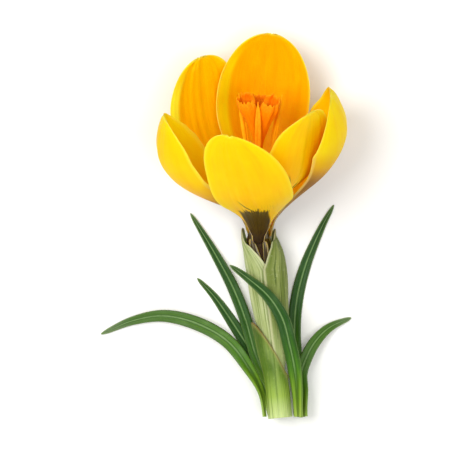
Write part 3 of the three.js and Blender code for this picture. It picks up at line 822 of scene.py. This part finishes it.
def stamen(name, azimuth, spread, top, skin):
    s = column(STAMEN_ROWS)
    s = np.minimum(1, s * 1.02 - 0.02 * s**8)
    a = ring_angles(STAMEN_SIDES)
    turned = azimuth * DEG
    anther = smooth((s - FILAMENT) * 14)
    uneven = 1 + 0.05 * waves(azimuth + 200, 5, 4, 14)(s) * anther
    groove = 1 - anther * (0.45 * np.abs(np.cos(a)) ** 10 + 0.22 * np.abs(np.sin(a)) ** 14)
    middle = centre_point(lerp(STAMEN_FOOT, spread, s**1.5), lerp(CLAW_HEIGHT, top, s), turned)
    wide = STAMEN_HALF_WIDTH(s) * np.sin(a) * groove * uneven
    deep = STAMEN_HALF_DEPTH(s) * np.cos(a) * groove * uneven
    rings = middle + sideways(turned) * wide[..., None] + outward(turned) * deep[..., None]
    points, faces, kinds = tube_mesh(rings)
    shape = points, faces, [0] * len(kinds), tube_fields(s, a, top - CLAW_HEIGHT)
    make_piece(name + "_fine", name, shape, [skin])


for stamen_name, stamen_shape in STAMENS.items():
    stamen(stamen_name, **stamen_shape)

STYLE_RADIUS = 0.5
STYLE_TOP = 22.5
STYLE_ROWS = 60
STYLE_SIDES = 32
LOBES = [(-82, 11.0), (70, 10.8), (178, 9.2)]  # azimuth and length
LOBE_SPREAD = 2.6
LOBE_MOUTH = 1.65
LOBE_WRAP = 135 * DEG
LOBE_ROWS = 60
LOBE_COLS = 120


def stigma_lobe(azimuth, length):
    """A sheet rolled into a trumpet that opens upwards and inwards, with a frilled rim."""
    turned = azimuth * DEG
    teeth = waves(azimuth + 300, 6, 2.5, 8.0)
    flute = waves(azimuth + 340, 4, 1.5, 4.0)

    def sheet(u, v):
        frill = (0.016 * np.cos(11 * math.pi * v) + 0.045 * teeth(v)) * smooth((u - 0.55) / 0.45)
        s = u * (1 - 0.06 * (1 - np.abs(v)) ** 1.5) + frill
        flare = LOBE_MOUTH * (1 + 0.3 * smooth((u - 0.5) / 0.4) - 0.16 * smooth((u - 0.88) / 0.12))
        radius = lerp(0.42, flare, smooth(s * 1.05)) * (1 + 0.1 * flute(v) * smooth((u - 0.3) / 0.7))
        centre = centre_point(lerp(0.15, LOBE_SPREAD, s**1.2), STYLE_TOP - 1 + length * s, turned)
        wrap = v * LOBE_WRAP
        side = sideways(turned) * (radius * np.sin(wrap))[..., None]
        return centre + side + outward(turned) * (radius * np.cos(wrap))[..., None]

    def edge(u, v):
        return np.minimum((1 - u) * length, (1 - np.abs(v)) * 3.5)

    us = np.linspace(0, 1, LOBE_ROWS + 1)
    vs = np.linspace(-1, 1, LOBE_COLS + 1)
    return shell(sheet, us, vs, lambda u, v: lerp(0.5, 0.2, u), edge, length, 3.0)


def pistil():
    s = column(STYLE_ROWS)
    a = ring_angles(STYLE_SIDES)
    radius = lerp(STYLE_RADIUS * 0.7, STYLE_RADIUS * 1.5, s) * (1 + 0.08 * np.cos(3 * a) * s)
    points, faces, kinds = tube_mesh(centre_point(radius, lerp(CLAW_HEIGHT, STYLE_TOP + 0.8, s), a))
    fields = tube_fields(s, a, 20)
    fields.update(share=np.full(len(points), 0.05), lane=points[:, 0])
    shape = joined([(points, faces, kinds, fields)] + [stigma_lobe(*lobe) for lobe in LOBES])
    make_piece("pistil_fine", "pistil", shape, [STIGMA, STIGMA_INSIDE, STIGMA, STIGMA])


pistil()

# ---- tube and sheaths


def tube_material():
    p = Paint("tube")
    run = p.field("run")
    stripes = p.grain(2.2, 0.05, 2.0)
    fine = p.grain(7.0, 0.1, 5.0)
    dark = p.mix(p.step(run, 30.0, 42.0), (92, 78, 52), (62, 46, 22))
    pale = p.mix(p.step(run, 33.0, 41.5), (176, 168, 150), (112, 98, 66))
    colour = p.mix(p.step(stripes, 0.46, 0.58), dark, pale)
    colour = p.over(colour, (48, 34, 18), p.step(fine, 0.45, 0.65), 0.4)
    colour = p.over(colour, (214, 216, 176), p.step(run, 22.0, 12.0))
    normal = p.bump(stripes, 0.25, 0.7)
    return p.finish(colour, 0.5, normal, soft=0.12, glow=(1.0, 0.7, 0.4), reach_mm=0.5)


def cut_material():
    p = Paint("cut_end")
    body = p.body()
    pith = p.cells(body, 3.2)
    colour = p.mix(p.step(p.noise(body, 1.2, 3.0), 0.3, 0.7), (226, 232, 190), (196, 212, 140))
    colour = p.over(colour, (150, 168, 84), p.step(pith, 0.35, 0.1), 0.5)
    return p.finish(colour, 0.45, p.bump(pith, 0.12, 0.8), soft=0.3, glow=(0.8, 1.0, 0.4), reach_mm=0.6)


TUBE = tube_material()
CUT = cut_material()
TUBE_ROWS = 150
TUBE_SIDES = 72
TUBE_END = 1.012  # of the stem's line


def perianth_tube():
    s = column(TUBE_ROWS, TUBE_END)
    a = ring_angles(TUBE_SIDES)
    ribs = 1 + 0.035 * np.cos(6 * a + 0.4) + 0.012 * np.cos(18 * a)
    close = 1 - 0.25 * smooth((s - 0.99) / 0.022)
    radius = tube_radius(np.minimum(s, 1)) * ribs * close
    fields = tube_fields(s, (a - math.pi) * 2, STEM.length)
    shape = (*tube_mesh(stem_point(s, a, radius, radius)), fields)
    make_piece("perianth_tube_fine", "perianth_tube", shape, [TUBE, TUBE, TUBE, CUT])


perianth_tube()

SPATHE_WIDTH = graph([(FOOT_Y, 1.25), (-29, 1.3), (-23, 2.0), (-16, 2.9), (-9, 3.5), (-3, 3.6), (3, 3.65)])
SPATHE_HEIGHT = graph([(FOOT_Y, 1.25), (-29, 1.3), (-23, 1.8), (-16, 2.1), (-8, 2.3), (-3, 2.8), (3, 4.2)])
SPATHE_ROWS = 170
SPATHE_COLS = 72


def spathe_material(name, seed, base, pale, green):
    p = Paint(name)
    run, edge, share = (p.field(k) for k in ("run", "edge", "share"))
    veins = p.grain(3.2, 0.06, seed, 3.0, 0.6)
    broad = p.grain(0.8, 0.05, seed + 3)
    mottle = p.noise(p.body(), 1.1, 4.0, 0.6)
    colour = p.mix(p.step(broad, 0.38, 0.62), base, pale)
    colour = p.over(colour, green, p.step(veins, 0.48, 0.6), 0.8)
    colour = p.over(colour, (200, 204, 156), p.step(mottle, 0.55, 0.75), 0.3)
    colour = p.over(colour, (188, 202, 134), p.step(run, 22.0, 10.0), 0.6)
    colour = p.over(colour, (204, 204, 162), p.step(edge, 0.5, 0.1), 0.6)
    colour = p.over(colour, (150, 128, 84), p.step(share, 0.93, 1.0), 0.5)
    normal = p.bump(mottle, 0.05, 0.5, p.bump(veins, 0.2, 0.75))
    return p.finish(colour, 0.55, normal, soft=0.25, glow=(0.8, 1.0, 0.45), reach_mm=0.6, specular=0.25)


SPATHE_LEFT = spathe_material("spathe_left", 1.0, (162, 174, 112), (186, 196, 144), (116, 134, 62))
# The right valve is the same material in darker tones: painted shade on the side away from the light.
SPATHE_RIGHT_SHADED = spathe_material("spathe_right", 6.0, (108, 124, 50), (138, 150, 82), (70, 92, 24))
SPATHE = {
    "spathe_left": dict(side=-1, tip_y=1.9, notch_y=-6.4, reach=104, lift=0.0, skin=SPATHE_LEFT),
    "spathe_right": dict(side=1, tip_y=2.0, notch_y=-6.2, reach=92, lift=0.9, skin=SPATHE_RIGHT_SHADED),
}


def spathe_valve(name, side, tip_y, notch_y, reach, lift, skin):
    pleats = waves(side + 50, 5, 1.5, 5.0)
    crumple = waves(side + 70, 4, 1.0, 3.0)

    def half_angle(y):
        spread = lerp(88, reach, smooth((y + 26) / 6)) * DEG
        taper = np.clip((tip_y - y) / (tip_y - notch_y), 0, 1)
        return np.maximum(DEG, spread * taper**0.6)

    def sheet(u, v):
        y = lerp(FOOT_Y, tip_y, u)
        share = np.where(y > RIM_Y, 1 + (y - RIM_Y) / STEM.length, STEM.share_at_y(y))
        over = smooth((y + 29) / 9) * (1 - smooth((y + 4) / 6))
        azimuth = side * 90 * DEG + v * half_angle(y)
        pleat = (0.07 * pleats(v) + 0.1 * crumple(v * 0.4 + u * 2)) * smooth((y + 20) / 8)
        hug = 0.25 * smooth((y + 5) / 5)
        grow = lift * over + pleat - hug
        return stem_point(share, azimuth, SPATHE_WIDTH(y) + grow, SPATHE_HEIGHT(y) + grow)

    def thickness(u, v):
        return lerp(0.34, 0.16, np.abs(v) ** 3) * lerp(1, 0.6, u)

    def edge(u, v):
        y = lerp(FOOT_Y, tip_y, u)
        return (1 - np.abs(v)) * half_angle(y) * SPATHE_WIDTH(y)

    us = np.linspace(0, 1, SPATHE_ROWS + 1)
    vs = np.linspace(-1, 1, SPATHE_COLS + 1)
    shape = shell(sheet, us, vs, thickness, edge, tip_y - FOOT_Y, 5.2)
    make_piece(name + "_fine", name, shape, [skin, skin, skin, CUT])


for valve_name, valve_shape in SPATHE.items():
    spathe_valve(valve_name, **valve_shape)

SHEATH_HALF_WIDTH = graph([(FOOT_Y, 2.15), (-29, 2.2), (-26, 2.5), (-23, 3.0), (-16, 3.7)])
SHEATH_HALF_HEIGHT = graph([(FOOT_Y, 2.15), (-29, 2.2), (-23, 2.75), (-16, 3.1)])
SHEATH_LOW_Y = -28  # its mouth, where it is lowest
SHEATH_RISE = 11.5  # from there to its tip
SHEATH_TIP_AT = -75 * DEG  # round the stem
SHEATH_ROWS = 90
SHEATH_SIDES = 120


def sheath_material():
    p = Paint("sheath")
    run, edge = p.field("run"), p.field("edge")
    veins = p.grain(3.0, 0.06, 4.0, 3.0, 0.6)
    broad = p.grain(0.6, 0.06, 8.0)
    mottle = p.noise(p.body(), 1.4, 4.0, 0.6)
    colour = p.ramp(
        p.mul(run, 1 / 20.0),
        [(0.0, (196, 212, 142)), (0.22, (146, 174, 66)), (0.5, (76, 108, 6)), (1.0, (60, 86, 8))],
    )
    colour = p.over(colour, (156, 180, 80), p.step(broad, 0.42, 0.62), 0.35)
    colour = p.over(colour, (80, 112, 16), p.step(veins, 0.5, 0.64), 0.65)
    colour = p.over(colour, (180, 200, 116), p.step(mottle, 0.55, 0.75), 0.15)
    colour = p.over(colour, (150, 140, 74), p.step(edge, 1.6, 0.5), 0.45)
    colour = p.over(colour, (120, 92, 44), p.step(edge, 0.4, 0.12), 0.8)
    normal = p.bump(veins, 0.18, 0.7)
    return p.finish(colour, 0.42, normal, soft=0.3, glow=(0.7, 1.0, 0.35), reach_mm=0.8, specular=0.3)


def sheathing_leaf():
    t = column(SHEATH_ROWS)
    a = ring_angles(SHEATH_SIDES)
    top = SHEATH_LOW_Y + SHEATH_RISE * ((1 + np.cos(a - SHEATH_TIP_AT)) / 2) ** 1.6
    y = lerp(FOOT_Y, top, t)
    ribs = 0.03 * waves(90, 5, 3, 9)(a / math.pi)
    flare = 0.12 * smooth((t - 0.85) / 0.15)

    def wall(inset):
        grow = inset + ribs + flare
        return stem_point(STEM.share_at_y(y), a, SHEATH_HALF_WIDTH(y) + grow, SHEATH_HALF_HEIGHT(y) + grow)

    def both(values):
        """The outer wall's values, then in reverse for the inner one."""
        return np.concatenate([values, values[::-1]])

    thick = lerp(0.3, 0.1, smooth((t - 0.6) / 0.4))
    rings = np.concatenate([wall(thick), wall(-thick)[::-1]])
    last = (len(rings) - 1) * SHEATH_SIDES
    faces = grid_faces(len(rings) - 1, SHEATH_SIDES, around=True)
    kinds = [0] * len(faces) + [1] * SHEATH_SIDES
    for j in range(SHEATH_SIDES):
        k = (j + 1) % SHEATH_SIDES
        faces.append([last + j, last + k, k, j])
    fields = {"share": t, "run": y - FOOT_Y, "lane": (a - math.pi) * 2.6, "edge": top - y}
    fields = {key: both(np.broadcast_to(values, y.shape)).ravel() for key, values in fields.items()}
    shape = rings.reshape(-1, 3), faces, kinds, fields
    make_piece("sheathing_leaf_fine", "sheathing_leaf", shape, [sheath_material(), CUT])


sheathing_leaf()

# ---- leaves


def leaf_material(name, seed, top_side, grey=0.0):
    """Dark green with a pale midrib stripe or keel, and yellow-green towards the foot."""
    p = Paint(name)
    lane, share, edge = (p.field(k) for k in ("lane", "share", "edge"))
    body = p.body()
    veins = p.grain(7.0, 0.08, seed, 3.0, 0.6)
    patches = p.noise(body, 0.22, 3.0)
    mottle = p.noise(body, 1.6, 4.0, 0.6)
    colour = p.ramp(
        share,
        [(0.0, (170, 196, 84)), (0.1, (132, 168, 44)), (0.28, (74, 124, 22))]
        + [(0.5, (34, 84, 10)), (0.9, (32, 76, 14)), (1.0, (84, 104, 62))],
    )
    colour = p.over(colour, (24, 64, 4), p.step(veins, 0.45, 0.62), 0.5)
    # Grey-green patches: the leaf's waxy bloom, partly a painted sheen of the sky, stronger on the grey
    # leaves.
    colour = p.over(colour, (88, 124, 66), p.step(patches, 0.5, 0.7), 0.2 + grey)
    colour = p.over(colour, (110, 146, 70), p.step(mottle, 0.58, 0.75), 0.2)
    colour = p.over(colour, (116, 156, 66), p.step(share, 0.2, 0.45), grey)
    colour = p.over(colour, (128, 136, 116), p.step(share, 0.82, 1.0), 1.6 * grey)
    # Painted shade: the margins darker, where the leaf curves away from the light.
    shaded_margins = p.mul(p.step(edge, 0.8, 0.2), p.step(share, 0.15, 0.4))
    colour = p.over(colour, (22, 60, 6), shaded_margins, 0.5 - 0.6 * grey)
    wobble = p.mul(p.sub(p.grain(0.0, 0.5, seed), 0.5), 0.16)
    across = p.add(p.math("ABSOLUTE", lane), wobble)
    if top_side:
        colour = p.over(colour, (26, 66, 6), p.step(across, 0.55, 0.3), 0.6)
        stripe = p.mul(p.step(across, 0.26, 0.1), p.step(share, 0.12, 0.37))
        colour = p.over(colour, (132, 168, 100), stripe, 0.6)
    else:
        keel = p.mul(p.step(across, 0.4, 0.2), p.step(share, 0.1, 0.3))
        colour = p.over(colour, (150, 178, 120), keel, 0.45)
    colour = p.over(colour, (120, 152, 76), p.step(edge, 0.2, 0.06), 0.5)
    normal = p.bump(mottle, 0.03, 0.5, p.bump(veins, 0.14, 0.7))
    gloss = p.add(0.34, p.mul(mottle, 0.16))
    return p.finish(colour, gloss, normal, soft=0.08, glow=(0.5, 1.0, 0.2), reach_mm=0.5, specular=0.22)


LEAF_TOP = leaf_material("leaf_top", 1.0, True)
LEAF_TOP_GREY = leaf_material("leaf_top_grey", 3.0, True, grey=0.35)
LEAF_UNDER = leaf_material("leaf_under", 2.0, False)

LEAVES = {
    "leaf_left_low": dict(
        path=[(1.7, -36.1, 4.6), (0.9, -31, 4.4), (-1.5, -26.2, 4.0), (-5.4, -21, 3.6)]
        + [(-11.3, -17.4, 2.9), (-18.6, -15.6, 1.7), (-25, -16.6, 0.7), (-31.4, -19.3, 0.25)],
        half_width=1.3, twist=-78, grey=True,
    ),
    "leaf_crossing": dict(
        path=[(8.8, -36.1, 5.2), (8.5, -31, 5.9), (7.9, -26, 7.1), (6.9, -21.5, 8.2)]
        + [(5.4, -16, 9), (2.6, -11.6, 9.3), (-1.6, -7.9, 8.8), (-5.2, -5.3, 8.0)],
        half_width=1.35, twist=50,
    ),
    "leaf_right_low": dict(
        path=[(10.1, -36.1, 4.0), (9.7, -31, 3.6), (9.3, -27.5, 3.2), (10.2, -24.4, 3.0)]
        + [(12, -21, 2.5), (15, -18, 1.3), (19.4, -16, 0.25)],
        half_width=1.15, twist=62, grey=True,
    ),
    "leaf_right_high": dict(
        path=[(8.9, -36.1, 1.6), (8.4, -27, 1.1), (7.9, -18.4, 0.4), (8.4, -12.2, 0.25)]
        + [(10.1, -5.5, 0.25), (13.5, 2.5, 0.25), (15.9, 6.9, 0.25)],
        half_width=1.2,
    ),
    "leaf_left_high": dict(
        path=[(5.2, -36.1, 1.5), (3, -30, 1.5), (0.2, -24, 1.5), (-1.9, -16.8, 1.5)]
        + [(-4.6, -9.8, 1.3), (-7.9, -3.6, 1), (-13.2, 5.2, 0.6)],
        half_width=1.15,
    ),
    "leaf_left_middle": dict(
        path=[(3.6, -36.1, 0.25), (2, -30, 0.25), (-0.1, -24.3, 0.25), (-2.2, -20.8, 0.25)]
        + [(-4.6, -17.1, 0.25), (-8.3, -11.8, 0.25), (-11.8, -8, 0.25)],
        half_width=1.1,
    ),
}  # fmt: skip
LEAF_TIP = 0.955  # share of the length where the tip begins to round off
LEAF_ROWS = 180
LEAF_COLS = 32


def leaf(name, path, half_width, twist=0, grey=False):
    """A leaf along a path. Twist is in degrees at its foot, and fades upwards."""
    line = Line(path)
    seed = sum(map(ord, name))
    sway = waves(seed, 4, 1.0, 4.0)
    margin_wave = [waves(seed + k, 4, 2.0, 7.0) for k in (1, 2)]

    def half(u):
        narrowing = 1 - 0.76 * np.maximum(0, (u - 0.5) / 0.5) ** 1.9
        rounding = np.sqrt(np.maximum(0.004, 1 - np.maximum(0, (u - LEAF_TIP) / (1 - LEAF_TIP)) ** 2))
        return half_width * lerp(0.85, 1, smooth(u * 3)) * narrowing * rounding

    def sheet(u, v):
        along = line.along(u)
        across = unit(np.cross(along, UP))
        top = np.cross(across, along)
        angle = (lerp(twist, 0, smooth(u / 0.4)) + 6 * sway(u) * smooth(u * 2))[..., None] * DEG
        side = across * np.cos(angle) + top * np.sin(angle)
        face = top * np.cos(angle) - across * np.sin(angle)
        w = half(u)
        bend = 0.28 * w * v * v + 0.1 * w * bell(np.abs(v) - 0.55, 0.25)
        bend = bend - 0.16 * w * smooth((np.abs(v) - 0.8) / 0.2)
        bend = bend + 0.04 * np.where(v < 0, margin_wave[0](u), margin_wave[1](u))
        return line.at(u) + side * (v * w)[..., None] + face * bend[..., None]

    def thickness(u, v):
        flesh = 0.24 + 0.3 * bell(v, 0.25) + 0.1 * bell(np.abs(v) - 0.92, 0.12)
        return flesh * lerp(1, 0.5, smooth((u - 0.5) / 0.5))

    def edge(u, v):
        return (1 - np.abs(v)) * half(u)

    vs = np.linspace(-1, 1, LEAF_COLS + 1)
    shape = shell(sheet, crowded(LEAF_ROWS, 0.8), vs, thickness, edge, line.length, half_width)
    top_skin = LEAF_TOP_GREY if grey else LEAF_TOP
    make_piece(name + "_fine", name, shape, [top_skin, LEAF_UNDER, LEAF_UNDER, CUT])


for leaf_name, leaf_shape in LEAVES.items():
    leaf(leaf_name, **leaf_shape)

# ---- floor, light and camera, in metres

FLOOR_HALF = 1.5
SKY_STRENGTH = 0.5
LAMP_COLOUR = (1.0, 0.985, 0.96)
LAMP_TARGET = np.array([0, 0, 0.01])
VIEW_HEIGHT = 0.092  # of the scene, in the image
CAMERA_HEIGHT = 3.0
SENSOR = 36.0  # mm


def floor_material():
    p = Paint("floor")
    tone = p.noise(p.body(), 0.02, 3.0)
    colour = p.mix(p.step(tone, 0.3, 0.7), (246, 246, 245), (250, 250, 249))
    return p.finish(colour, 0.75, p.bump(p.noise(p.body(), 0.6, 3.0), 0.02, 0.3))


def make_floor():
    r = FLOOR_HALF
    mesh = bpy.data.meshes.new("floor")
    mesh.from_pydata([(-r, -r, 0), (r, -r, 0), (r, r, 0), (-r, r, 0)], [], [(0, 1, 2, 3)])
    mesh.materials.append(floor_material())
    floor = add_object("floor", mesh)


def area_light(name, place, size, power):
    data = bpy.data.lights.new(name, "AREA")
    data.shape = "DISK"
    data.size = size
    data.energy = power
    data.color = LAMP_COLOUR
    light = add_object(name, data)
    light.location = place
    x, y, z = np.array(place) - LAMP_TARGET
    light.rotation_euler = (math.atan2(math.hypot(x, y), z), 0.0, math.atan2(x, -y))


def make_world():
    world = bpy.data.worlds.new("studio")
    world.use_nodes = True
    background = world.node_tree.nodes["Background"]
    background.inputs["Color"].default_value = (1.0, 1.0, 1.0, 1.0)
    background.inputs["Strength"].default_value = SKY_STRENGTH
    bpy.context.scene.world = world


def make_camera():
    data = bpy.data.cameras.new("camera")
    data.sensor_width = SENSOR
    data.lens = SENSOR * CAMERA_HEIGHT / VIEW_HEIGHT
    data.clip_end = 10
    camera = add_object("camera", data)
    x, y, _ = np.mean(cad_box, axis=0)
    camera.location = (x, y, CAMERA_HEIGHT)
    bpy.context.scene.camera = camera


make_floor()
make_world()
area_light("key", place=(-0.3, 0.1, 0.66), size=0.42, power=3.3)
area_light("fill", place=(0.16, -0.12, 0.8), size=0.5, power=2.6)
make_camera()
bpy.context.scene.view_settings.view_transform = "Standard"
